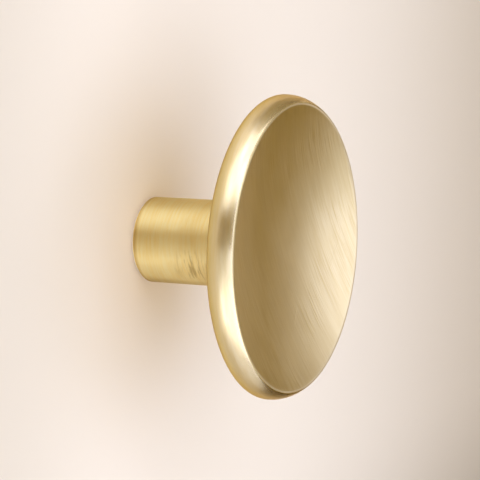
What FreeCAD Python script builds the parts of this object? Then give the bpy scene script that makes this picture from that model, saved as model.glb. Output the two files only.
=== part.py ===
# Cabinet knob turned from one piece of solid brass: a wide round head with a shallow
# concave dish in its face, on a plain round shank with a blind threaded hole in its base.
#
# Frame, in millimetres: the origin is the centre of the base, which is the flat end of
# the shank. The knob stands out from there along -Y, and +Z is up in use.

import FreeCAD, Part

import math
import os

# Overall sizes
head_diameter = 40.0
projection = 22.0  # from the base to the front of the head
shank_diameter = 11.5

# Head
dish_depth = 3.6  # middle of the dish below the front
front_land = 0.25  # width of the narrow flat ring at the front, between the dish and the side
rim_bulge = 1.0  # how far the widest ring stands out past the front
rim_height = 2.5  # from the front back to the widest ring
back_corner_radius = 1.0
back_slope = 15.0  # degrees between the cone of the back and a flat back

# Shank
root_radius = 1.6  # fillet between the shank and the back of the head
base_chamfer = 0.4

# Screw hole, tapped for a metric machine screw
screw_diameter = 4.0
thread_pitch = 0.7
lead_in_clearance = 0.2  # the mouth is this much wider than the screw, all round
lead_in_angle = 90.0
drill_point_angle = 118.0
hole_floor = 5.4  # metal between the point of the hole and the middle of the dish
cutter_overrun = 1.0  # how far the hole's cutting shape reaches out past the base

# Radii and heights that follow from those. Heights are measured from the base.
head_radius = head_diameter / 2
shank_radius = shank_diameter / 2
side_top_radius = head_radius - rim_bulge
dish_edge_radius = side_top_radius - front_land
dish_floor = projection - dish_depth

# The dish is part of a sphere
sphere_radius = (dish_edge_radius**2 + dish_depth**2) / (2 * dish_depth)
sphere_height = dish_floor + sphere_radius

# The side is an arc that leaves the widest ring parallel to the axis
widest_height = projection - rim_height
side_radius = (rim_bulge**2 + rim_height**2) / (2 * rim_bulge)

# The back corner's arc carries on from the side's, and ends on the cone of the back
slope = math.radians(back_slope)
corner_reach = head_radius - back_corner_radius
back_edge_radius = corner_reach + back_corner_radius * math.sin(slope)
back_edge_height = widest_height - back_corner_radius * math.cos(slope)

# The root's fillet touches the cone of the back and the shank
root_reach = shank_radius + root_radius
cone_over_root = back_edge_height - (back_edge_radius - root_reach) * math.tan(slope)
root_height = cone_over_root - root_radius / math.cos(slope)

# The hole is drilled at the thread's core size and opens in a cone at the base
core_radius = (screw_diameter - thread_pitch) / 2
mouth_radius = screw_diameter / 2 + lead_in_clearance
mouth_depth = (mouth_radius - core_radius) / math.tan(math.radians(lead_in_angle / 2))
hole_tip = dish_floor - hole_floor
wall_end = hole_tip - core_radius / math.tan(math.radians(drill_point_angle / 2))


def at(radius, height):
    """A point of the half section, at a radius from the axis and a height above the base."""
    return FreeCAD.Vector(radius, -height, 0)


def along(start, through, distance):
    """The point at a distance from one point, on the line through another."""
    direction = through - start
    direction.normalize()
    return start + direction * distance


def arc(start, end, centre):
    """The shorter arc about a centre, from one point to another."""
    chord_middle = (start + end) * 0.5
    middle = along(centre, chord_middle, start.distanceToPoint(centre))
    return Part.Arc(start, middle, end).toShape()


def line(start, end):
    return Part.LineSegment(start, end).toShape()


def turned(edges):
    """The solid that a closed half section sweeps about the knob's axis."""
    section = Part.Face(Part.Wire(edges))
    return section.revolve(FreeCAD.Vector(0, 0, 0), FreeCAD.Vector(0, 1, 0), 360)


def blank():
    """The head and the shank as they are turned, with a flat face and no hole."""
    side_centre = at(head_radius - side_radius, widest_height)
    corner_centre = at(corner_reach, widest_height)
    root_centre = at(root_reach, root_height)

    face_middle = at(0, projection)
    face_edge = at(side_top_radius, projection)
    widest = at(head_radius, widest_height)
    back_edge = at(back_edge_radius, back_edge_height)
    back_foot = root_centre + (back_edge - corner_centre) * (-root_radius / back_corner_radius)
    shank_top = at(shank_radius, root_height)
    shank_foot = at(shank_radius, base_chamfer)
    base_edge = at(shank_radius - base_chamfer, 0)
    base_middle = at(0, 0)

    return turned(
        [
            line(face_middle, face_edge),
            arc(face_edge, widest, side_centre),
            arc(widest, back_edge, corner_centre),
            line(back_edge, back_foot),
            arc(back_foot, shank_top, root_centre),
            line(shank_top, shank_foot),
            line(shank_foot, base_edge),
            line(base_edge, base_middle),
            line(base_middle, face_middle),
        ]
    )


def dish():
    """The sphere that hollows the face. Its poles are to the sides, clear of the knob."""
    return Part.makeSphere(sphere_radius, at(0, sphere_height), FreeCAD.Vector(1, 0, 0))


def screw_hole():
    """The space of the hole: the cone of its mouth, its wall and the point that the drill left."""
    corners = [
        at(0, -cutter_overrun),
        at(mouth_radius, -cutter_overrun),
        at(mouth_radius, 0),
        at(core_radius, mouth_depth),
        at(core_radius, wall_end),
        at(0, hole_tip),
    ]
    return turned([line(a, b) for a, b in zip(corners, corners[1:] + corners[:1])])


os.makedirs("parts", exist_ok=True)
knob = blank().cut(dish()).cut(screw_hole())
knob.exportStep("parts/knob.step")
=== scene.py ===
"""Looks of a cabinet knob turned from one piece of solid brass.

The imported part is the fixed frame, in metres: the origin is the centre of the base, the knob
stands out from there along -Y, and +Z is up. One piece stands for it, with its edges softened,
the real thread in its hole and a brushed finish on each of its surfaces.
"""

import logging
import math
from collections.abc import Callable
from dataclasses import dataclass, field
from enum import Enum

import bmesh
import bpy
from mathutils import Matrix, Vector


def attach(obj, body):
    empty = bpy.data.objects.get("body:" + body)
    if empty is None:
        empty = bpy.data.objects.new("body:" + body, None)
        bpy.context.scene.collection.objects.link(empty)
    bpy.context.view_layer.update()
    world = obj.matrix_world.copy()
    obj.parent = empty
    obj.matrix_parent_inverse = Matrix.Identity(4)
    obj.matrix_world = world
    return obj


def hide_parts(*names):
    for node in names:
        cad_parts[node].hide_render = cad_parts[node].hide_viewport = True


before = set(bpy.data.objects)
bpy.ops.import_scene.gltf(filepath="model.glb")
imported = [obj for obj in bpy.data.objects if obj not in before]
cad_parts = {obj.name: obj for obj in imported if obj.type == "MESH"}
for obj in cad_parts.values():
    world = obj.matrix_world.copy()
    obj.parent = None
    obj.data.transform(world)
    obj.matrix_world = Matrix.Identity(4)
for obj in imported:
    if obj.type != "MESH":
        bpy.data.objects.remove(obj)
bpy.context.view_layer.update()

MM = 0.001
log = logging.getLogger("knob")


class Surface(Enum):
    """The knob's surfaces by the way they are finished, in the order of its material slots."""

    SHANK = 0
    SIDE = 1
    DISH = 2
    EDGE = 3
    TAPPED = 4


def deselect_everything() -> None:
    """Leaves edit mode and deselects every object."""
    if bpy.context.mode != "OBJECT":
        bpy.ops.object.mode_set(mode="OBJECT")
    bpy.ops.object.select_all(action="DESELECT")


def make_active(piece: bpy.types.Object) -> None:
    """Selects one object alone and makes it the active one.

    Args:
        piece: The object that the next operators act on.
    """
    deselect_everything()
    piece.select_set(True)
    bpy.context.view_layer.objects.active = piece


def select_where(test: Callable[[bmesh.types.BMVert], bool]) -> int:
    """Selects the vertices that pass a test, and the edges and faces that they make up.

    Args:
        test: Says whether a vertex of the mesh in edit mode is wanted.

    Returns:
        The number of vertices selected.
    """
    bpy.ops.mesh.select_all(action="DESELECT")
    bpy.ops.mesh.select_mode(type="VERT")
    mesh = bmesh.from_edit_mesh(bpy.context.edit_object.data)
    wanted = [v for v in mesh.verts if test(v)]
    for vert in wanted:
        vert.select = True
    mesh.select_flush(True)
    bmesh.update_edit_mesh(bpy.context.edit_object.data)
    return len(wanted)


@dataclass
class Lathe:
    """Draws a turned shape on from an open ring of the mesh in edit mode, one ring at a time.

    Radii are measured from the knob's axis and heights from its base, both in metres.
    """

    radius: float
    height: float

    def take_ring(self) -> None:
        """Selects the open ring at the lathe's radius and height."""
        near = 0.02 * MM

        def on_ring(vert: bmesh.types.BMVert) -> bool:
            """Says whether a vertex is on the open ring."""
            off_height = abs(-vert.co.y - self.height)
            off_radius = abs(math.hypot(vert.co.x, vert.co.z) - self.radius)
            return vert.is_boundary and off_height < near and off_radius < near

        select_where(on_ring)

    def run_to(self, radius: float, height: float) -> None:
        """Extrudes the selected ring to a new radius and height.

        Args:
            radius: The new ring's radius.
            height: The new ring's height above the base.
        """
        advance = (0.0, self.height - height, 0.0)
        bpy.ops.mesh.extrude_edges_move(TRANSFORM_OT_translate={"value": advance})
        scale = radius / self.radius
        bpy.ops.transform.resize(value=(scale, 1.0, scale), center_override=(0.0, -height, 0.0))
        self.radius = radius
        self.height = height

    def line_to(self, radius: float, height: float, steps: int) -> None:
        """Runs to a ring along a straight line.

        Args:
            radius: The last ring's radius.
            height: The last ring's height.
            steps: The number of rings along the line.
        """
        from_radius, from_height = self.radius, self.height
        for step in range(1, steps + 1):
            share = step / steps
            self.run_to(
                from_radius + (radius - from_radius) * share,
                from_height + (height - from_height) * share,
            )

    def arc(self, centre: tuple[float, float], size: float, start: float, end: float, steps: int) -> None:
        """Runs along an arc of the half section.

        Args:
            centre: The radius and height of the arc's centre.
            size: The arc's own radius.
            start: The angle at which it starts, in radians, from outward towards the front.
            end: The angle at which it ends.
            steps: The number of rings along it.
        """
        for step in range(1, steps + 1):
            angle = start + (end - start) * step / steps
            self.run_to(centre[0] + size * math.cos(angle), centre[1] + size * math.sin(angle))

    def close(self, height: float) -> None:
        """Closes the shape with a pole on the axis.

        Args:
            height: The pole's height above the base.
        """
        advance = (0.0, self.height - height, 0.0)
        bpy.ops.mesh.extrude_edges_move(TRANSFORM_OT_translate={"value": advance})
        bpy.ops.mesh.merge(type="CENTER")


@dataclass
class Knob:
    """The head and the shank, one turned piece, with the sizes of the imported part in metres."""

    head_radius: float = 20.0 * MM
    projection: float = 22.0 * MM
    shank_radius: float = 5.75 * MM
    dish_depth: float = 3.6 * MM
    front_land: float = 0.25 * MM
    rim_bulge: float = 1.0 * MM
    rim_height: float = 2.5 * MM
    corner_radius: float = 1.0 * MM
    back_slope: float = math.radians(15.0)
    root_radius: float = 1.6 * MM
    base_chamfer: float = 0.4 * MM
    mouth_radius: float = 2.2 * MM
    mouth_depth: float = 0.55 * MM
    core_radius: float = 1.65 * MM
    hole_tip: float = 13.0 * MM
    drill_half_angle: float = math.radians(59.0)
    edge_softening: float = 0.08 * MM
    segments: int = 256

    @property
    def land_outer(self) -> float:
        """The radius where the side meets the flat front ring."""
        return self.head_radius - self.rim_bulge

    @property
    def land_inner(self) -> float:
        """The radius where the dish meets the flat front ring."""
        return self.land_outer - self.front_land

    @property
    def widest_height(self) -> float:
        """The height of the ring at which the head is widest."""
        return self.projection - self.rim_height

    @property
    def wall_end(self) -> float:
        """The height at which the hole's wall meets the cone that the drill left."""
        return self.hole_tip - self.core_radius / math.tan(self.drill_half_angle)

    @property
    def cone_foot(self) -> tuple[float, float]:
        """The radius and height of the root fillet's centre."""
        corner_radius = self.head_radius - self.corner_radius
        edge_radius = corner_radius + self.corner_radius * math.sin(self.back_slope)
        edge_height = self.widest_height - self.corner_radius * math.cos(self.back_slope)
        reach = self.shank_radius + self.root_radius
        over_root = edge_height - (edge_radius - reach) * math.tan(self.back_slope)
        return reach, over_root - self.root_radius / math.cos(self.back_slope)

    def build(self) -> bpy.types.Object:
        """Models the knob, with a plain hole.

        Returns:
            The finished object, at the origin and with its place in its mesh.
        """
        knob = self.shank_blank()
        self.turn_head()
        self.turn_base()
        self.bore_hole()
        self.close_up()
        self.soften_edges()
        bpy.ops.object.mode_set(mode="OBJECT")
        return knob

    def shank_blank(self) -> bpy.types.Object:
        """Adds the shank as an open cylinder at its size and place.

        Returns:
            The new object, in edit mode.
        """
        foot = self.base_chamfer
        top = self.cone_foot[1]
        deselect_everything()
        bpy.ops.mesh.primitive_cylinder_add(
            vertices=self.segments,
            radius=self.shank_radius,
            depth=top - foot,
            end_fill_type="NOTHING",
            location=(0.0, -(top + foot) / 2, 0.0),
            rotation=(math.pi / 2, 0.0, 0.0),
        )
        knob = bpy.context.active_object
        knob.name = "turned_knob"
        knob.data.name = "turned_knob"
        bpy.ops.object.transform_apply(location=True, rotation=True, scale=True)
        bpy.ops.object.mode_set(mode="EDIT")
        return knob

    def turn_head(self) -> None:
        """Draws the head on from the shank: root, back, side, front ring and dish."""
        reach, root_height = self.cone_foot
        lathe = Lathe(self.shank_radius, root_height)
        lathe.take_ring()
        lathe.arc((reach, root_height), self.root_radius, math.pi, math.pi / 2 + self.back_slope, 12)

        corner = (self.head_radius - self.corner_radius, self.widest_height)
        edge_radius = corner[0] + self.corner_radius * math.sin(self.back_slope)
        edge_height = corner[1] - self.corner_radius * math.cos(self.back_slope)
        lathe.line_to(edge_radius, edge_height, 14)
        lathe.arc(corner, self.corner_radius, self.back_slope - math.pi / 2, 0.0, 12)

        side = (self.rim_bulge**2 + self.rim_height**2) / (2 * self.rim_bulge)
        side_end = math.asin(self.rim_height / side)
        lathe.arc((self.head_radius - side, self.widest_height), side, 0.0, side_end, 14)

        lathe.run_to(self.land_inner, self.projection)
        self.hollow_dish(lathe)

    def hollow_dish(self, lathe: Lathe) -> None:
        """Draws the dish, part of a sphere, in from the front ring to its middle.

        Args:
            lathe: The lathe, at the inner edge of the front ring.
        """
        sphere = (self.land_inner**2 + self.dish_depth**2) / (2 * self.dish_depth)
        centre = (0.0, self.projection - self.dish_depth + sphere)
        edge = math.acos(self.land_inner / sphere)
        middle = math.pi / 2 - math.asin(0.35 * MM / sphere)
        lathe.arc(centre, sphere, -edge, -middle, 40)
        lathe.close(self.projection - self.dish_depth)

    def turn_base(self) -> None:
        """Draws the chamfer and the flat seat in from the foot of the shank."""
        lathe = Lathe(self.shank_radius, self.base_chamfer)
        lathe.take_ring()
        lathe.run_to(self.shank_radius - self.base_chamfer, 0.0)
        lathe.line_to(self.mouth_radius, 0.0, 4)

    def bore_hole(self) -> None:
        """Draws the hole on from the seat: mouth, plain wall and the point of the drill."""
        lathe = Lathe(self.mouth_radius, 0.0)
        lathe.take_ring()
        lathe.line_to(self.core_radius, self.mouth_depth, 2)
        lathe.line_to(self.core_radius, self.wall_end, 8)
        lathe.line_to(0.3 * MM, self.hole_tip - 0.3 * MM / math.tan(self.drill_half_angle), 3)
        lathe.close(self.hole_tip)

    def close_up(self) -> None:
        """Merges doubled vertices and turns every face outwards."""
        bpy.ops.mesh.select_all(action="SELECT")
        bpy.ops.mesh.remove_doubles(threshold=0.0005 * MM)
        bpy.ops.mesh.normals_make_consistent(inside=False)

    def soften_edges(self) -> None:
        """Bevels the edges that the tools would have left sharp."""
        self.soften_ring(self.land_outer, self.projection, self.edge_softening)
        self.soften_ring(self.land_inner, self.projection, self.edge_softening)
        self.soften_ring(self.shank_radius, self.base_chamfer, self.edge_softening)
        self.soften_ring(self.shank_radius - self.base_chamfer, 0.0, self.edge_softening)
        self.soften_ring(self.mouth_radius, 0.0, self.edge_softening)

    def soften_ring(self, radius: float, height: float, width: float) -> None:
        """Bevels one ring of edges.

        Args:
            radius: The ring's radius.
            height: The ring's height above the base.
            width: The distance that the bevel takes off to each side.
        """

        def on_ring(vert: bmesh.types.BMVert) -> bool:
            """Says whether a vertex is on the ring."""
            off_radius = abs(math.hypot(vert.co.x, vert.co.z) - radius)
            return off_radius < 0.01 * MM and abs(-vert.co.y - height) < 0.01 * MM

        select_where(on_ring)
        bpy.ops.mesh.bevel(offset=width, segments=3, profile=0.5)


@dataclass
class Thread:
    """The thread tapped in the hole, with its sizes in metres."""

    pitch: float = 0.7 * MM
    major_radius: float = 2.0 * MM
    core_radius: float = 1.65 * MM
    depth: float = 10.6 * MM
    overrun: float = 0.35 * MM
    steps: int = 72

    def cut(self, knob: bpy.types.Object) -> None:
        """Cuts the thread's groove in the wall of the hole.

        Args:
            knob: The knob with its plain hole.
        """
        coil = self.coil()
        make_active(knob)
        groove = knob.modifiers.new("thread", "BOOLEAN")
        groove.operation = "DIFFERENCE"
        groove.solver = "EXACT"
        groove.object = coil
        bpy.ops.object.modifier_apply(modifier=groove.name)
        bpy.data.objects.remove(coil)

    def coil(self) -> bpy.types.Object:
        """Models the solid coil that fills the groove.

        Returns:
            The coil, which the caller removes.
        """
        inner = self.core_radius - 0.06 * MM
        root = self.pitch / 8
        mouth = root + 2 * (self.major_radius - inner) * math.tan(math.radians(30.0))
        middle = (inner + self.major_radius) / 2
        deselect_everything()
        bpy.ops.mesh.primitive_plane_add(size=1.0, location=(middle, 0.0, 0.0))
        coil = bpy.context.active_object
        coil.name = "thread_groove"
        coil.scale = (self.major_radius - inner, mouth, 1.0)
        bpy.ops.object.transform_apply(location=True, rotation=True, scale=True)

        bpy.ops.object.mode_set(mode="EDIT")
        select_where(lambda vert: vert.co.x > middle)
        taper = (1.0, root / mouth, 1.0)
        bpy.ops.transform.resize(value=taper, center_override=(self.major_radius, 0.0, 0.0))
        bpy.ops.mesh.select_all(action="SELECT")
        bpy.ops.transform.translate(value=(0.0, self.overrun, 0.0))
        bpy.ops.mesh.delete(type="ONLY_FACE")
        bpy.ops.object.mode_set(mode="OBJECT")

        turns = math.floor((self.depth + self.overrun) / self.pitch)
        helix = coil.modifiers.new("helix", "SCREW")
        helix.axis = "Y"
        helix.angle = -2 * math.pi
        helix.screw_offset = -self.pitch
        helix.iterations = turns
        helix.steps = self.steps
        helix.render_steps = self.steps
        helix.use_merge_vertices = False
        bpy.ops.object.modifier_apply(modifier=helix.name)

        bpy.ops.object.mode_set(mode="EDIT")
        bpy.ops.mesh.select_all(action="SELECT")
        bpy.ops.mesh.remove_doubles(threshold=0.0005 * MM)
        bpy.ops.mesh.fill_holes(sides=4)
        bpy.ops.mesh.select_all(action="SELECT")
        bpy.ops.mesh.normals_make_consistent(inside=False)
        bpy.ops.object.mode_set(mode="OBJECT")
        return coil


class Wiring:
    """A node tree under construction, with a short way to add and join nodes."""

    def __init__(self, tree: bpy.types.NodeTree) -> None:
        """Starts on an empty tree.

        Args:
            tree: The node tree to fill.
        """
        self.tree = tree
        self.column = 0

    def add(self, kind: str, settings: dict | None = None, **inputs: object) -> bpy.types.Node:
        """Adds a node.

        Args:
            kind: The node's type.
            settings: Its properties by name.
            inputs: Its inputs by name, or i0, i1 and so on by number; a socket is linked, and
                anything else is set.

        Returns:
            The new node.
        """
        node = self.tree.nodes.new(kind)
        node.location = (200.0 * self.column, 0.0)
        self.column += 1
        for name, value in (settings or {}).items():
            setattr(node, name, value)
        for name, value in inputs.items():
            by_number = name[0] == "i" and name[1:].isdigit()
            socket = node.inputs[int(name[1:]) if by_number else name.replace("_", " ")]
            if isinstance(value, bpy.types.NodeSocket):
                self.tree.links.new(value, socket)
            else:
                socket.default_value = value
        return node

    def maths(self, operation: str, *values: object, clamp: bool = False) -> bpy.types.NodeSocket:
        """Adds a Math node.

        Args:
            operation: What it does.
            values: Its inputs in order.
            clamp: Whether its result is kept from 0 to 1.

        Returns:
            Its result.
        """
        settings = {"operation": operation, "use_clamp": clamp}
        return self.add("ShaderNodeMath", settings, **numbered(values)).outputs[0]

    def vector(self, operation: str, *values: object) -> bpy.types.NodeSocket:
        """Adds a Vector Math node.

        Args:
            operation: What it does.
            values: Its inputs in order.

        Returns:
            Its result, a vector or, for a length or a dot product, a number.
        """
        node = self.add("ShaderNodeVectorMath", {"operation": operation}, **numbered(values))
        return node.outputs[1 if operation in ("LENGTH", "DOT_PRODUCT", "DISTANCE") else 0]

    def spread(self, value: bpy.types.NodeSocket, low: float, high: float, to_low: float = 0.0,
               to_high: float = 1.0) -> bpy.types.NodeSocket:
        """Maps a range smoothly on to another.

        Args:
            value: The number to map.
            low: The value that becomes to_low.
            high: The value that becomes to_high.
            to_low: The result at low and below.
            to_high: The result at high and above.

        Returns:
            The mapped number.
        """
        settings = {"interpolation_type": "SMOOTHSTEP"}
        ends = {"From_Min": low, "From_Max": high, "To_Min": to_low, "To_Max": to_high}
        return self.add("ShaderNodeMapRange", settings, Value=value, **ends).outputs["Result"]

    def blend(self, share: object, first: object, second: object) -> bpy.types.NodeSocket:
        """Mixes two colours.

        Args:
            share: How much of the second there is, from 0 to 1.
            first: The colour at 0.
            second: The colour at 1.

        Returns:
            The mixed colour.
        """
        node = self.add("ShaderNodeMix", {"data_type": "RGBA"}, i0=share, i6=first, i7=second)
        return node.outputs[2]

    def noise(self, place: bpy.types.NodeSocket, scale: float, detail: float,
              roughness: float) -> bpy.types.NodeSocket:
        """Adds a noise texture.

        Args:
            place: The vector at which it is read.
            scale: Its scale.
            detail: Its octaves.
            roughness: How strong the finer octaves are.

        Returns:
            Its value, about 0.5 on average.
        """
        node = self.add(
            "ShaderNodeTexNoise", Vector=place, Scale=scale, Detail=detail, Roughness=roughness
        )
        return node.outputs[0]


def numbered(values: tuple) -> dict[str, object]:
    """Names a node's inputs by their number."""
    return {f"i{index}": value for index, value in enumerate(values)}


def new_group(name: str, inputs: dict[str, str], outputs: dict[str, str]) -> tuple[Wiring, bpy.types.Node, bpy.types.Node]:
    """Starts a shader node group.

    Args:
        name: The group's name.
        inputs: Its inputs, each name with its socket type.
        outputs: Its outputs, each name with its socket type.

    Returns:
        The wiring of the group, its input node and its output node.
    """
    tree = bpy.data.node_groups.new(name, "ShaderNodeTree")
    for way, sockets in (("INPUT", inputs), ("OUTPUT", outputs)):
        for socket, kind in sockets.items():
            tree.interface.new_socket(name=socket, in_out=way, socket_type=kind)
    wiring = Wiring(tree)
    return wiring, wiring.add("NodeGroupInput"), wiring.add("NodeGroupOutput")


VECTOR = "NodeSocketVector"
NUMBER = "NodeSocketFloat"


class Effects:
    """The effects that several finishes use, each built once as a shader node group."""

    def __init__(self) -> None:
        """Builds every group."""
        self.turning = self.turning_marks()
        self.brushing = self.brushed_lines()
        self.handling = self.handling_marks()
        self.ring_group = self.soft_edge_ring()

    def turning_marks(self) -> bpy.types.NodeTree:
        """Fine lines round the knob's axis, which follow its outline from the base to the front.

        Returns:
            The group, with Lines and Bands from 0 to 1.
        """
        wiring, given, result = new_group(
            "turning_marks",
            {"Place": VECTOR, "Fineness": NUMBER, "Breaks": NUMBER},
            {"Lines": NUMBER, "Bands": NUMBER},
        )
        place = given.outputs["Place"]
        flat = wiring.vector("MULTIPLY", place, (1.0, 0.0, 1.0))
        radius = wiring.vector("LENGTH", flat)
        outward = wiring.vector("NORMALIZE", flat)
        height = wiring.vector("DOT_PRODUCT", place, (0.0, -1.0, 0.0))
        run = wiring.maths("ADD", radius, height)
        around = wiring.add("ShaderNodeVectorMath", {"operation": "SCALE"},
                            i0=outward, Scale=given.outputs["Breaks"]).outputs[0]
        fine = wiring.maths("MULTIPLY", run, given.outputs["Fineness"])
        broad = wiring.maths("MULTIPLY", fine, 0.12)
        fine_place = wiring.vector(
            "ADD", around, wiring.add("ShaderNodeCombineXYZ", Y=fine).outputs[0]
        )
        broad_place = wiring.vector(
            "ADD", around, wiring.add("ShaderNodeCombineXYZ", Y=broad).outputs[0]
        )
        lines = wiring.noise(fine_place, 1.0, 3.0, 0.6)
        bands = wiring.noise(broad_place, 1.0, 2.0, 0.5)
        wiring.tree.links.new(wiring.spread(lines, 0.25, 0.75), result.inputs["Lines"])
        wiring.tree.links.new(wiring.spread(bands, 0.3, 0.7), result.inputs["Bands"])
        return wiring.tree

    def brushed_lines(self) -> bpy.types.NodeTree:
        """Long lines across a surface that faces along the axis, bowed round a far centre.

        Returns:
            The group, with Lines and Bands from 0 to 1.
        """
        wiring, given, result = new_group(
            "brushed_lines",
            {"Place": VECTOR, "Centre": VECTOR, "Fineness": NUMBER, "Stretch": NUMBER},
            {"Lines": NUMBER, "Bands": NUMBER},
        )
        place = wiring.vector("MULTIPLY", given.outputs["Place"], (1.0, 0.0, 1.0))
        wander = wiring.noise(place, 90.0, 1.0, 0.5)
        drift = wiring.maths("MULTIPLY", wiring.maths("SUBTRACT", wander, 0.5), 0.3 * MM)
        arm = wiring.vector("SUBTRACT", place, given.outputs["Centre"])
        reach = wiring.vector("LENGTH", given.outputs["Centre"])
        parts = wiring.add("ShaderNodeSeparateXYZ", Vector=arm)
        turn = wiring.maths("ARCTAN2", parts.outputs["Z"], parts.outputs["X"])
        along = wiring.maths("MULTIPLY", turn, reach)
        along = wiring.maths("MULTIPLY", along, given.outputs["Fineness"])
        along = wiring.maths("DIVIDE", along, given.outputs["Stretch"])
        across = wiring.maths("ADD", wiring.vector("LENGTH", arm), drift)
        across = wiring.maths("MULTIPLY", across, given.outputs["Fineness"])
        fine_place = wiring.add("ShaderNodeCombineXYZ", X=along, Z=across).outputs[0]
        broad_place = wiring.vector("MULTIPLY", fine_place, (0.3, 0.0, 0.14))
        lines = wiring.spread(wiring.noise(fine_place, 1.0, 3.0, 0.6), 0.25, 0.75)
        bands = wiring.noise(broad_place, 1.0, 2.0, 0.5)

        uneven = wiring.spread(wiring.noise(place, 95.0, 2.0, 0.5), 0.38, 0.62, 0.25, 1.0)
        towards_rim = wiring.spread(wiring.vector("LENGTH", place), 4.0 * MM, 17.0 * MM, 0.55, 1.3)
        strength = wiring.maths("MULTIPLY", uneven, towards_rim)
        lines = wiring.maths("MULTIPLY", wiring.maths("SUBTRACT", lines, 0.5), strength)
        lines = wiring.maths("ADD", lines, 0.5, clamp=True)
        wiring.tree.links.new(lines, result.inputs["Lines"])
        wiring.tree.links.new(wiring.spread(bands, 0.3, 0.7), result.inputs["Bands"])
        return wiring.tree

    def handling_marks(self) -> bpy.types.NodeTree:
        """Soft smudges and a few thin scratches, as fingers leave them.

        Returns:
            The group, with Smudge and Scratch from 0 to 1.
        """
        wiring, given, result = new_group(
            "handling_marks", {"Place": VECTOR}, {"Smudge": NUMBER, "Scratch": NUMBER}
        )
        place = given.outputs["Place"]
        smudge = wiring.spread(wiring.noise(place, 110.0, 4.0, 0.55), 0.4, 0.68)
        tilted = wiring.add(
            "ShaderNodeVectorRotate",
            {"rotation_type": "AXIS_ANGLE"},
            Vector=place,
            Axis=(0.3, 0.9, 0.2),
            Angle=1.1,
        ).outputs[0]
        drawn = wiring.vector("MULTIPLY", tilted, (110.0, 900.0, 2400.0))
        scratch = wiring.spread(wiring.noise(drawn, 1.0, 1.0, 0.5), 0.71, 0.78)
        wiring.tree.links.new(smudge, result.inputs["Smudge"])
        wiring.tree.links.new(scratch, result.inputs["Scratch"])
        return wiring.tree

    def soft_edge_ring(self) -> bpy.types.NodeTree:
        """A soft ring about the axis, along which the finishes change their colour: paler at the front edges, partly
        buffing and partly a painted highlight, paler at the hole's mouth, and darker with painted shade at the
        shank's foot and round the rim's widest ring.

        Returns:
            The group, with Mask, 1 on the ring and 0 a width away from it.
        """
        wiring, given, result = new_group(
            "soft_edge_ring",
            {"Place": VECTOR, "Radius": NUMBER, "Height": NUMBER, "Width": NUMBER},
            {"Mask": NUMBER},
        )
        place = given.outputs["Place"]
        radius = wiring.vector("LENGTH", wiring.vector("MULTIPLY", place, (1.0, 0.0, 1.0)))
        height = wiring.vector("DOT_PRODUCT", place, (0.0, -1.0, 0.0))
        off_radius = wiring.maths("SUBTRACT", radius, given.outputs["Radius"])
        off_height = wiring.maths("SUBTRACT", height, given.outputs["Height"])
        off = wiring.add("ShaderNodeCombineXYZ", X=off_radius, Y=off_height).outputs[0]
        share = wiring.maths("DIVIDE", wiring.vector("LENGTH", off), given.outputs["Width"])
        wiring.tree.links.new(wiring.spread(share, 0.0, 1.0, 1.0, 0.0), result.inputs["Mask"])
        return wiring.tree


def new_material(name: str) -> tuple[bpy.types.Material, Wiring, bpy.types.NodeSocket]:
    """Starts a material with no nodes but its output and its object coordinates.

    Args:
        name: The material's name.

    Returns:
        The material, its wiring and the place on the object.
    """
    material = bpy.data.materials.new(name)
    material.use_nodes = True
    material.node_tree.nodes.clear()
    wiring = Wiring(material.node_tree)
    place = wiring.add("ShaderNodeTexCoord").outputs["Object"]
    return material, wiring, place


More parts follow.
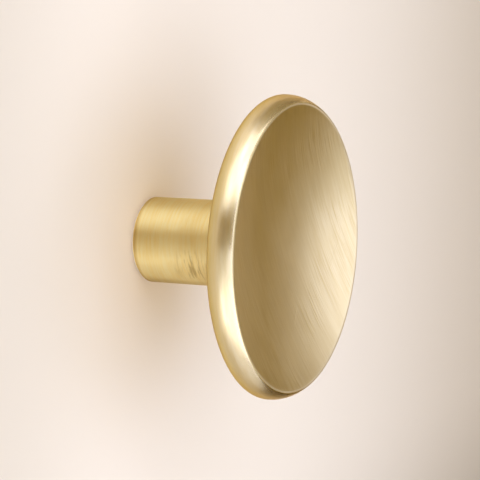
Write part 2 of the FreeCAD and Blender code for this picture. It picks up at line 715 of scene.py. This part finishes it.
@dataclass(frozen=True)
class TurnedBrass:
    """Satin brass with lines round the axis: the shank and the back, and the side."""

    name: str
    # The shank's colours: a lighter, more golden copy of the side's brass, painted light that brightens the shank
    # where it mirrors the shaded backdrop.
    pale: tuple[float, float, float, float] = (0.99, 0.88, 0.52, 1.0)
    plain: tuple[float, float, float, float] = (0.99, 0.82, 0.38, 1.0)
    deep: tuple[float, float, float, float] = (0.96, 0.75, 0.29, 1.0)
    tint: tuple[float, float, float, float] = (0.94, 0.73, 0.35, 1.0)
    # Colour of the painted shade at the shank's foot, where it meets the backdrop, and round the rim's widest ring.
    edge_shade_and_sheen: tuple[float, float, float, float] = (0.74, 0.53, 0.18, 1.0)
    roughness: float = 0.54
    anisotropy: float = 0.94
    coat: float = 0.3
    line_height: float = 0.0040 * MM
    breaks: float = 1.6
    # Painted shadow: dark streaks on the shank round this spot below the head, where the head's shadow shows in the
    # shank's reflection; None leaves them out.
    shadow_streak_spot: tuple[float, float, float] | None = (-5.0 * MM, -8.8 * MM, -2.8 * MM)
    shadow_streak_colour: tuple[float, float, float, float] = (0.68, 0.52, 0.22, 1.0)

    def material(self, effects: Effects, knob: Knob) -> bpy.types.Material:
        """Makes the material.

        Args:
            effects: The node groups.
            knob: The knob's sizes, which say where its edges are.

        Returns:
            The new material.
        """
        material, wiring, place = new_material(self.name)
        group = {"node_tree": effects.turning}
        marks = wiring.add("ShaderNodeGroup", group, Place=place, Fineness=3600.0, Breaks=self.breaks)
        handling = wiring.add("ShaderNodeGroup", {"node_tree": effects.handling}, Place=place)
        ring_group = {"node_tree": effects.ring_group}
        front = wiring.add("ShaderNodeGroup", ring_group, Place=place, Radius=knob.land_outer,
                           Height=knob.projection, Width=0.7 * MM).outputs["Mask"]
        foot = wiring.add("ShaderNodeGroup", ring_group, Place=place, Radius=knob.shank_radius,
                          Height=knob.base_chamfer, Width=0.6 * MM).outputs["Mask"]
        rear = wiring.add("ShaderNodeGroup", ring_group, Place=place, Radius=knob.head_radius,
                          Height=knob.widest_height - 0.7 * MM, Width=2.4 * MM).outputs["Mask"]

        bands = wiring.maths("MULTIPLY", marks.outputs["Bands"], 0.6)
        colour = wiring.blend(bands, self.plain, self.deep)
        colour = wiring.blend(wiring.maths("MULTIPLY", marks.outputs["Lines"], 0.7), colour, self.pale)
        # Paler towards the front edge: partly buffing, partly a painted highlight along the edge.
        colour = wiring.blend(wiring.maths("MULTIPLY", front, 0.6), colour, self.pale)
        # Painted shade where the shank's foot meets the backdrop.
        colour = wiring.blend(wiring.maths("MULTIPLY", foot, 0.9), colour, self.edge_shade_and_sheen)
        # Painted shade round the rim's widest ring and the corner behind it.
        colour = wiring.blend(wiring.maths("MULTIPLY", rear, 0.85), colour, self.edge_shade_and_sheen)
        # Painted shadow: dark streaks round the spot below the head, standing in for the head's reflected shadow.
        if self.shadow_streak_spot is not None:
            streaks = wiring.add("ShaderNodeGroup", group, Place=place, Fineness=2600.0, Breaks=1.9)
            away = wiring.vector("DISTANCE", place, self.shadow_streak_spot)
            near = wiring.spread(away, 0.4 * MM, 3.4 * MM, 1.0, 0.0)
            streak = wiring.spread(streaks.outputs["Lines"], 0.40, 0.90)
            colour = wiring.blend(wiring.maths("MULTIPLY", streak, near), colour, self.shadow_streak_colour)

        rough = wiring.spread(marks.outputs["Bands"], 0.0, 1.0, self.roughness, self.roughness + 0.05)
        smudged = wiring.maths("MULTIPLY", handling.outputs["Smudge"], 0.05)
        rough = wiring.maths("ADD", rough, smudged)
        rough = wiring.maths("SUBTRACT", rough, wiring.maths("MULTIPLY", front, 0.08))

        scratch = wiring.maths("MULTIPLY", handling.outputs["Scratch"], -0.08)
        relief = wiring.maths("ADD", marks.outputs["Lines"], scratch)
        normal = wiring.add("ShaderNodeBump", Strength=1.0, Distance=self.line_height, Height=relief)

        flat = wiring.vector("MULTIPLY", place, (1.0, 0.0, 1.0))
        tangent = wiring.vector("CROSS_PRODUCT", flat, (0.0, 1.0, 0.0))
        tangent = wiring.vector("NORMALIZE", tangent)
        shader = finish_material(wiring, colour, rough, normal.outputs[0], tangent, self.anisotropy, 0.25, self.coat)
        shader.inputs["Specular Tint"].default_value = self.tint
        return material


@dataclass(frozen=True)
class BrushedBrass:
    """Satin brass with long lines across it: the dish."""

    pale: tuple[float, float, float, float] = (0.93, 0.79, 0.54, 1.0)
    plain: tuple[float, float, float, float] = (0.85, 0.69, 0.385, 1.0)
    deep: tuple[float, float, float, float] = (0.75, 0.58, 0.28, 1.0)
    roughness: float = 0.29
    anisotropy: float = 0.60
    angle: float = math.radians(60.0)
    bow: float = 100.0 * MM
    line_height: float = 0.0120 * MM

    def material(self, effects: Effects, knob: Knob) -> bpy.types.Material:
        """Makes the material.

        Args:
            effects: The node groups.
            knob: The knob's sizes, which say where its edges are.

        Returns:
            The new material.
        """
        material, wiring, place = new_material("dish_brass")
        centre = (-self.bow * math.sin(self.angle), 0.0, -self.bow * math.cos(self.angle))
        marks = wiring.add("ShaderNodeGroup", {"node_tree": effects.brushing}, Place=place,
                           Centre=centre, Fineness=3200.0, Stretch=20.0)
        handling = wiring.add("ShaderNodeGroup", {"node_tree": effects.handling}, Place=place)
        edge = wiring.add("ShaderNodeGroup", {"node_tree": effects.ring_group}, Place=place,
                          Radius=knob.land_inner, Height=knob.projection, Width=0.6 * MM)

        colour = wiring.blend(marks.outputs["Bands"], self.plain, self.deep)
        colour = wiring.blend(wiring.maths("MULTIPLY", marks.outputs["Lines"], 0.8), colour, self.pale)
        # Paler along the dish's outer edge: partly buffing, partly a painted highlight.
        edge_shade_and_sheen = wiring.maths("MULTIPLY", edge.outputs["Mask"], 0.5)
        colour = wiring.blend(edge_shade_and_sheen, colour, self.pale)

        rough = wiring.spread(marks.outputs["Bands"], 0.0, 1.0, self.roughness, self.roughness + 0.03)
        smudged = wiring.maths("MULTIPLY", handling.outputs["Smudge"], 0.03)
        rough = wiring.maths("ADD", rough, smudged)

        scratch = wiring.maths("MULTIPLY", handling.outputs["Scratch"], -0.5)
        relief = wiring.maths("ADD", marks.outputs["Lines"], scratch)
        normal = wiring.add("ShaderNodeBump", Strength=1.0, Distance=self.line_height, Height=relief)

        arm = wiring.vector("SUBTRACT", place, centre)
        tangent = wiring.vector("NORMALIZE", wiring.vector("CROSS_PRODUCT", (0.0, 1.0, 0.0), arm))
        finish_material(wiring, colour, rough, normal.outputs[0], tangent, self.anisotropy, 0.25, 0.8)
        return material


@dataclass(frozen=True)
class EdgeBrass:
    """Brass buffed smooth on the narrow ring at the front."""

    # Paler than the rest of the brass: partly buffing, partly a painted highlight along the front edge.
    pale: tuple[float, float, float, float] = (0.96, 0.84, 0.64, 1.0)
    plain: tuple[float, float, float, float] = (0.92, 0.78, 0.54, 1.0)
    roughness: float = 0.42
    line_height: float = 0.0005 * MM

    def material(self, effects: Effects, knob: Knob) -> bpy.types.Material:
        """Makes the material.

        Args:
            effects: The node groups.
            knob: The knob's sizes; not used.

        Returns:
            The new material.
        """
        material, wiring, place = new_material("edge_brass")
        group = {"node_tree": effects.turning}
        marks = wiring.add("ShaderNodeGroup", group, Place=place, Fineness=9000.0, Breaks=6.0)
        handling = wiring.add("ShaderNodeGroup", {"node_tree": effects.handling}, Place=place)
        colour = wiring.blend(marks.outputs["Lines"], self.plain, self.pale)
        smudge = handling.outputs["Smudge"]
        rough = wiring.spread(smudge, 0.0, 1.0, self.roughness, self.roughness + 0.08)
        height = marks.outputs["Lines"]
        normal = wiring.add("ShaderNodeBump", Strength=1.0, Distance=self.line_height, Height=height)
        finish_material(wiring, colour, rough, normal.outputs[0], None, 0.0, 0.0, 0.0)
        return material


@dataclass(frozen=True)
class TappedBrass:
    """Brass as the tap and the drill leave it: the hole's mouth, thread and point."""

    pale: tuple[float, float, float, float] = (0.84, 0.64, 0.34, 1.0)
    deep: tuple[float, float, float, float] = (0.58, 0.40, 0.17, 1.0)
    roughness: float = 0.26
    line_height: float = 0.0030 * MM

    def material(self, effects: Effects, knob: Knob) -> bpy.types.Material:
        """Makes the material.

        Args:
            effects: The node groups.
            knob: The knob's sizes, which say where the hole's mouth is.

        Returns:
            The new material.
        """
        material, wiring, place = new_material("tapped_brass")
        group = {"node_tree": effects.turning}
        marks = wiring.add("ShaderNodeGroup", group, Place=place, Fineness=9000.0, Breaks=3.0)
        mouth = wiring.add("ShaderNodeGroup", {"node_tree": effects.ring_group}, Place=place,
                           Radius=knob.mouth_radius, Height=0.0, Width=0.9 * MM)
        colour = wiring.blend(marks.outputs["Lines"], self.deep, self.pale)
        colour = wiring.blend(mouth.outputs["Mask"], colour, self.pale)
        rough = wiring.spread(marks.outputs["Bands"], 0.0, 1.0, self.roughness, self.roughness + 0.15)
        height = marks.outputs["Lines"]
        normal = wiring.add("ShaderNodeBump", Strength=1.0, Distance=self.line_height, Height=height)
        finish_material(wiring, colour, rough, normal.outputs[0], None, 0.0, 0.0, 0.0)
        return material


def finish_material(wiring: Wiring, colour: bpy.types.NodeSocket, rough: bpy.types.NodeSocket,
                    normal: bpy.types.NodeSocket, tangent: bpy.types.NodeSocket | None,
                    anisotropy: float, turn: float, coat: float) -> bpy.types.Node:
    """Adds the metal's shader and its output.

    Args:
        wiring: The material's wiring.
        colour: The base colour.
        rough: The roughness.
        normal: The normal.
        tangent: The direction of the lines, or None where the gloss is even.
        anisotropy: How much the lines draw the gloss out.
        turn: The turn from the tangent to the direction in which gloss is drawn out.
        coat: How much clear lacquer there is over the metal.

    Returns:
        The metal's shader.
    """
    shader = wiring.add(
        "ShaderNodeBsdfPrincipled", Base_Color=colour, Roughness=rough, Normal=normal
    )
    shader.inputs["Metallic"].default_value = 1.0
    shader.inputs["Anisotropic"].default_value = anisotropy
    shader.inputs["Anisotropic Rotation"].default_value = turn
    shader.inputs["Coat Weight"].default_value = coat
    shader.inputs["Coat Roughness"].default_value = 0.25
    if tangent is not None:
        wiring.tree.links.new(tangent, shader.inputs["Tangent"])
    wiring.add("ShaderNodeOutputMaterial", Surface=shader.outputs[0])
    return shader


@dataclass
class Dressing:
    """Gives each surface of the knob its finish."""

    knob: Knob
    shank: TurnedBrass = TurnedBrass("shank_brass")
    side: TurnedBrass = TurnedBrass(
        "side_brass",
        tint=(0.70, 0.52, 0.25, 1.0),
        # Colour of the side's painted shade round the rim's widest ring.
        edge_shade_and_sheen=(0.58, 0.45, 0.15, 1.0),
        pale=(0.94, 0.82, 0.61, 1.0),
        plain=(0.89, 0.73, 0.43, 1.0),
        deep=(0.81, 0.64, 0.34, 1.0),
        roughness=0.28,
        anisotropy=0.4,
        coat=0.1,
        line_height=0.0050 * MM,
        breaks=4.0,
        shadow_streak_spot=None,
    )
    dish: BrushedBrass = BrushedBrass()
    edge: EdgeBrass = EdgeBrass()
    tapped: TappedBrass = TappedBrass()

    def surface_at(self, centre: Vector) -> Surface:
        """Tells which surface a face belongs to, by its place.

        Args:
            centre: The middle of the face.

        Returns:
            The surface.
        """
        radius = math.hypot(centre.x, centre.z)
        height = -centre.y
        soft = self.knob.edge_softening
        if radius < self.knob.mouth_radius and height < self.knob.hole_tip:
            return Surface.TAPPED
        on_land = self.knob.land_inner - 1.2 * soft < radius < self.knob.land_outer - soft
        if on_land and height > self.knob.projection - 1.4 * soft:
            return Surface.EDGE
        over_back = self.knob.widest_height - self.knob.corner_radius
        if radius > self.knob.head_radius - self.knob.rim_bulge and height > over_back:
            return Surface.SIDE
        dish_floor = self.knob.projection - self.knob.dish_depth
        if radius < self.knob.land_inner and height > dish_floor - 0.01 * MM:
            return Surface.DISH
        return Surface.SHANK

    def dress(self, piece: bpy.types.Object) -> None:
        """Makes the materials and gives every face its own.

        Args:
            piece: The finished knob.
        """
        effects = Effects()
        finishes = (self.shank, self.side, self.dish, self.edge, self.tapped)
        for finish in finishes:
            piece.data.materials.append(finish.material(effects, self.knob))
        sphere = (self.knob.land_inner**2 + self.knob.dish_depth**2) / (2 * self.knob.dish_depth)
        middle = self.knob.projection - self.knob.dish_depth + sphere
        for face in piece.data.polygons:
            surface = self.surface_at(face.center)
            if surface is Surface.DISH:
                reach = math.hypot(math.hypot(face.center.x, face.center.z), middle + face.center.y)
                if reach > sphere + 0.3 * MM:
                    surface = Surface.SHANK
            face.material_index = surface.value
        make_active(piece)
        bpy.ops.object.shade_smooth_by_angle(angle=math.radians(28.0))


@dataclass
class Card:
    """A softbox or a dark card of the studio, placed by its direction from the knob."""

    name: str
    azimuth: float
    elevation: float
    width: float
    height: float
    distance: float = 1.0
    light: float = 0.0
    colour: tuple[float, float, float] = (0.93, 0.985, 1.15)

    def placed(self) -> Matrix:
        """Gives the card's place and turn, facing the knob.

        Returns:
            The card's matrix.
        """
        azimuth = math.radians(self.azimuth)
        elevation = math.radians(self.elevation)
        outward = Vector((
            math.sin(azimuth) * math.cos(elevation),
            -math.cos(azimuth) * math.cos(elevation),
            math.sin(elevation),
        ))
        middle = Vector((0.0, -0.011, 0.0))
        turn = outward.to_track_quat("Z", "Y").to_matrix().to_4x4()
        return Matrix.Translation(middle + outward * self.distance) @ turn

    def softbox(self) -> bpy.types.Object:
        """Adds the card as an area lamp.

        Returns:
            The lamp.
        """
        lamp = bpy.data.lights.new(self.name, "AREA")
        lamp.shape = "RECTANGLE"
        lamp.size = self.width
        lamp.size_y = self.height
        lamp.energy = self.light * math.pi * self.width * self.height
        lamp.color = self.colour
        box = bpy.data.objects.new(self.name, lamp)
        box.matrix_world = self.placed()
        box.visible_camera = False
        bpy.context.scene.collection.objects.link(box)
        return box

    def flag(self) -> bpy.types.Object:
        """Adds the card as a plain dark sheet, which the camera doesn't show.

        Returns:
            The sheet.
        """
        deselect_everything()
        bpy.ops.mesh.primitive_plane_add(size=1.0)
        sheet = bpy.context.active_object
        sheet.name = self.name
        sheet.matrix_world = self.placed() @ Matrix.Diagonal((self.width, self.height, 1.0, 1.0))
        material = bpy.data.materials.new(self.name)
        material.use_nodes = True
        material.node_tree.nodes.clear()
        wiring = Wiring(material.node_tree)
        shader = wiring.add("ShaderNodeBsdfDiffuse", Color=(*self.colour, 1.0))
        wiring.add("ShaderNodeOutputMaterial", Surface=shader.outputs[0])
        sheet.data.materials.append(material)
        sheet.visible_camera = False
        return sheet


@dataclass
class Backdrop:
    """A pale upright sheet behind the knob, with painted shade to the knob's left and towards the bottom, which is
    clear when it is seen from behind.
    """

    opening: float = 5.4 * MM
    reach: float = 1.6
    colour: tuple[float, float, float, float] = (0.95, 0.86, 0.775, 1.0)
    # Painted shade: a painted shadow to the knob's left, and a darker lower part.
    dim: tuple[float, float, float, float] = (0.78, 0.70, 0.61, 1.0)
    low: tuple[float, float, float, float] = (0.50, 0.44, 0.36, 1.0)

    def stand(self) -> bpy.types.Object:
        """Models the sheet, with an opening that the knob's base fills.

        Returns:
            The sheet.
        """
        deselect_everything()
        bpy.ops.mesh.primitive_circle_add(
            vertices=128, radius=self.opening, fill_type="NOTHING", rotation=(math.pi / 2, 0.0, 0.0)
        )
        sheet = bpy.context.active_object
        sheet.name = "backdrop"
        bpy.ops.object.transform_apply(location=True, rotation=True, scale=True)
        bpy.ops.object.mode_set(mode="EDIT")
        bpy.ops.mesh.select_all(action="SELECT")
        for radius in (20.0 * MM, 100.0 * MM, self.reach):
            scale = radius / self.opening
            bpy.ops.mesh.extrude_edges_move()
            bpy.ops.transform.resize(value=(scale, 1.0, scale), center_override=(0.0, 0.0, 0.0))
            self.opening = radius
        bpy.ops.object.mode_set(mode="OBJECT")
        towards_knob = sum(face.normal.y * face.area for face in sheet.data.polygons) < 0.0
        if not towards_knob:
            sheet.data.flip_normals()
        sheet.data.materials.append(self.material())
        return sheet

    def material(self) -> bpy.types.Material:
        """Makes the sheet's material.

        Returns:
            The new material.
        """
        material, wiring, place = new_material("backdrop")
        parts = wiring.add("ShaderNodeSeparateXYZ", Vector=place)
        # Painted shade: darker to the left of the knob and towards the bottom.
        sideways = wiring.spread(parts.outputs["X"], -44.0 * MM, -4.0 * MM)
        upwards = wiring.spread(parts.outputs["Z"], -100.0 * MM, -38.0 * MM)
        colour = wiring.blend(upwards, self.low, wiring.blend(sideways, self.dim, self.colour))
        pale = wiring.add("ShaderNodeBsdfDiffuse", Color=colour)
        clear = wiring.add("ShaderNodeBsdfTransparent")
        behind = wiring.add("ShaderNodeNewGeometry").outputs["Backfacing"]
        mixed = wiring.add("ShaderNodeMixShader", i0=behind, i1=pale.outputs[0], i2=clear.outputs[0])
        wiring.add("ShaderNodeOutputMaterial", Surface=mixed.outputs[0])
        return material


@dataclass
class Studio:
    """The floor, the light and the camera."""

    floor_height: float = -450.0 * MM
    floor_size: float = 6.0
    floor_colour: tuple[float, float, float, float] = (0.86, 0.85, 0.83, 1.0)
    air: tuple[float, float, float, float] = (0.88, 0.88, 0.865, 1.0)
    haze: tuple[float, float, float, float] = (0.70, 0.68, 0.64, 1.0)
    lens: float = 150.0
    sensor: float = 36.0
    azimuth: float = math.radians(-63.03)
    elevation: float = math.radians(6.826)
    offset: tuple[float, float, float] = (11.885 * MM, -0.117 * MM, 270.753 * MM)
    softboxes: tuple[Card, ...] = (
        Card("left_softbox", -32.0, 10.0, 0.62, 0.98, distance=0.8, light=0.62),
        Card("right_softbox", 24.0, 3.0, 0.46, 0.50, distance=0.8, light=0.78,
             colour=(0.92, 0.985, 1.30)),
        Card("upper_softbox", -38.0, 54.0, 0.92, 0.62, distance=0.8, light=0.70),
        Card("low_softbox", -34.0, -41.0, 0.68, 0.30, distance=0.37, light=0.76),
        Card("left_strip", -74.0, 44.0, 0.05, 0.12, distance=0.22, light=1.4),
        Card("low_strip", -74.0, -40.0, 0.05, 0.12, distance=0.22, light=0.8),
        Card("right_strip", 79.0, 25.0, 0.12, 0.06, distance=0.4, light=1.1),
        Card("over_softbox", 0.0, 66.0, 0.50, 0.30, distance=0.5, light=1.1),
    )
    flags: tuple[Card, ...] = (
        Card("left_flag", -62.0, 17.5, 0.140, 0.078, distance=0.15, colour=(0.33, 0.24, 0.045)),
        Card("right_flag", 76.0, -5.0, 0.18, 0.15, distance=0.138, colour=(0.265, 0.185, 0.045)),
        Card("low_right_flag", 75.0, -47.0, 0.16, 0.10, distance=0.15, colour=(0.17, 0.12, 0.035)),
        Card("upper_right_flag", 50.0, 60.0, 1.0, 0.5, distance=0.7, colour=(0.60, 0.50, 0.32)),
        Card("top_flag", 86.0, 55.0, 0.16, 0.17, distance=0.16, colour=(0.35, 0.295, 0.165)),
    )
    backdrop: Backdrop = field(default_factory=Backdrop)

    def set_up(self) -> None:
        """Makes the whole studio."""
        self.surroundings()
        self.floor()
        for card in self.softboxes:
            card.softbox()
        for card in self.flags:
            card.flag()
        self.backdrop.stand()
        self.camera()
        bpy.context.scene.view_settings.view_transform = "Standard"

    def surroundings(self) -> None:
        """Makes the plain air that surrounds the knob, and the pale haze that is seen there."""
        world = bpy.data.worlds.new("studio_air")
        world.use_nodes = True
        world.node_tree.nodes.clear()
        wiring = Wiring(world.node_tree)
        path = wiring.add("ShaderNodeLightPath")
        seen = wiring.maths("MAXIMUM", path.outputs["Is Camera Ray"], path.outputs["Is Glossy Ray"])
        seen = wiring.maths("MAXIMUM", seen, path.outputs["Is Transmission Ray"])
        colour = wiring.blend(seen, self.air, self.haze)
        light = wiring.add("ShaderNodeBackground", Color=colour, Strength=1.0)
        wiring.add("ShaderNodeOutputWorld", Surface=light.outputs[0])
        bpy.context.scene.world = world

    def floor(self) -> None:
        """Lays the pale floor, which fades into the air away from the knob."""
        deselect_everything()
        bpy.ops.mesh.primitive_plane_add(
            size=self.floor_size, location=(0.0, 0.0, self.floor_height)
        )
        floor = bpy.context.active_object
        floor.name = "floor"
        material, wiring, place = new_material("floor")
        shader = wiring.add("ShaderNodeBsdfDiffuse", Color=self.floor_colour)
        clear = wiring.add("ShaderNodeBsdfTransparent")
        away = wiring.spread(wiring.vector("LENGTH", place), 1.0, 2.6)
        mixed = wiring.add("ShaderNodeMixShader", i0=away, i1=shader.outputs[0], i2=clear.outputs[0])
        wiring.add("ShaderNodeOutputMaterial", Surface=mixed.outputs[0])
        floor.data.materials.append(material)

    def camera(self) -> None:
        """Places the camera where the photograph was taken from."""
        around, above = self.azimuth, self.elevation
        right = Vector((math.cos(around), math.sin(around), 0.0))
        up = Vector((-math.sin(above) * math.sin(around), math.sin(above) * math.cos(around),
                     math.cos(above)))
        back = right.cross(up)
        lens = bpy.data.cameras.new("camera")
        lens.lens = self.lens
        lens.sensor_width = self.sensor
        lens.clip_start = 0.01
        lens.clip_end = 50.0
        camera = bpy.data.objects.new("camera", lens)
        turn = Matrix((right, up, back)).transposed().to_4x4()
        place = right * self.offset[0] + up * self.offset[1] + back * self.offset[2]
        camera.matrix_world = Matrix.Translation(place) @ turn
        bpy.context.scene.collection.objects.link(camera)
        bpy.context.scene.camera = camera


def write_sizes() -> None:
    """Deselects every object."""
    deselect_everything()


def report(piece: bpy.types.Object) -> None:
    """Logs a piece's name, faces and size.

    Args:
        piece: The finished piece.
    """
    size = [round(side * 1000, 2) for side in piece.dimensions]
    log.info("%s: %d faces, %s mm", piece.name, len(piece.data.polygons), size)


def main() -> None:
    """Builds the knob and its studio."""
    logging.basicConfig(level=logging.INFO, format="%(name)s: %(message)s")
    sizes = Knob()
    piece = sizes.build()
    Thread().cut(piece)
    Dressing(sizes).dress(piece)
    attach(piece, "root")
    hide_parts("knob")
    report(piece)
    Studio().set_up()
    write_sizes()


if __name__ == "__main__":
    main()
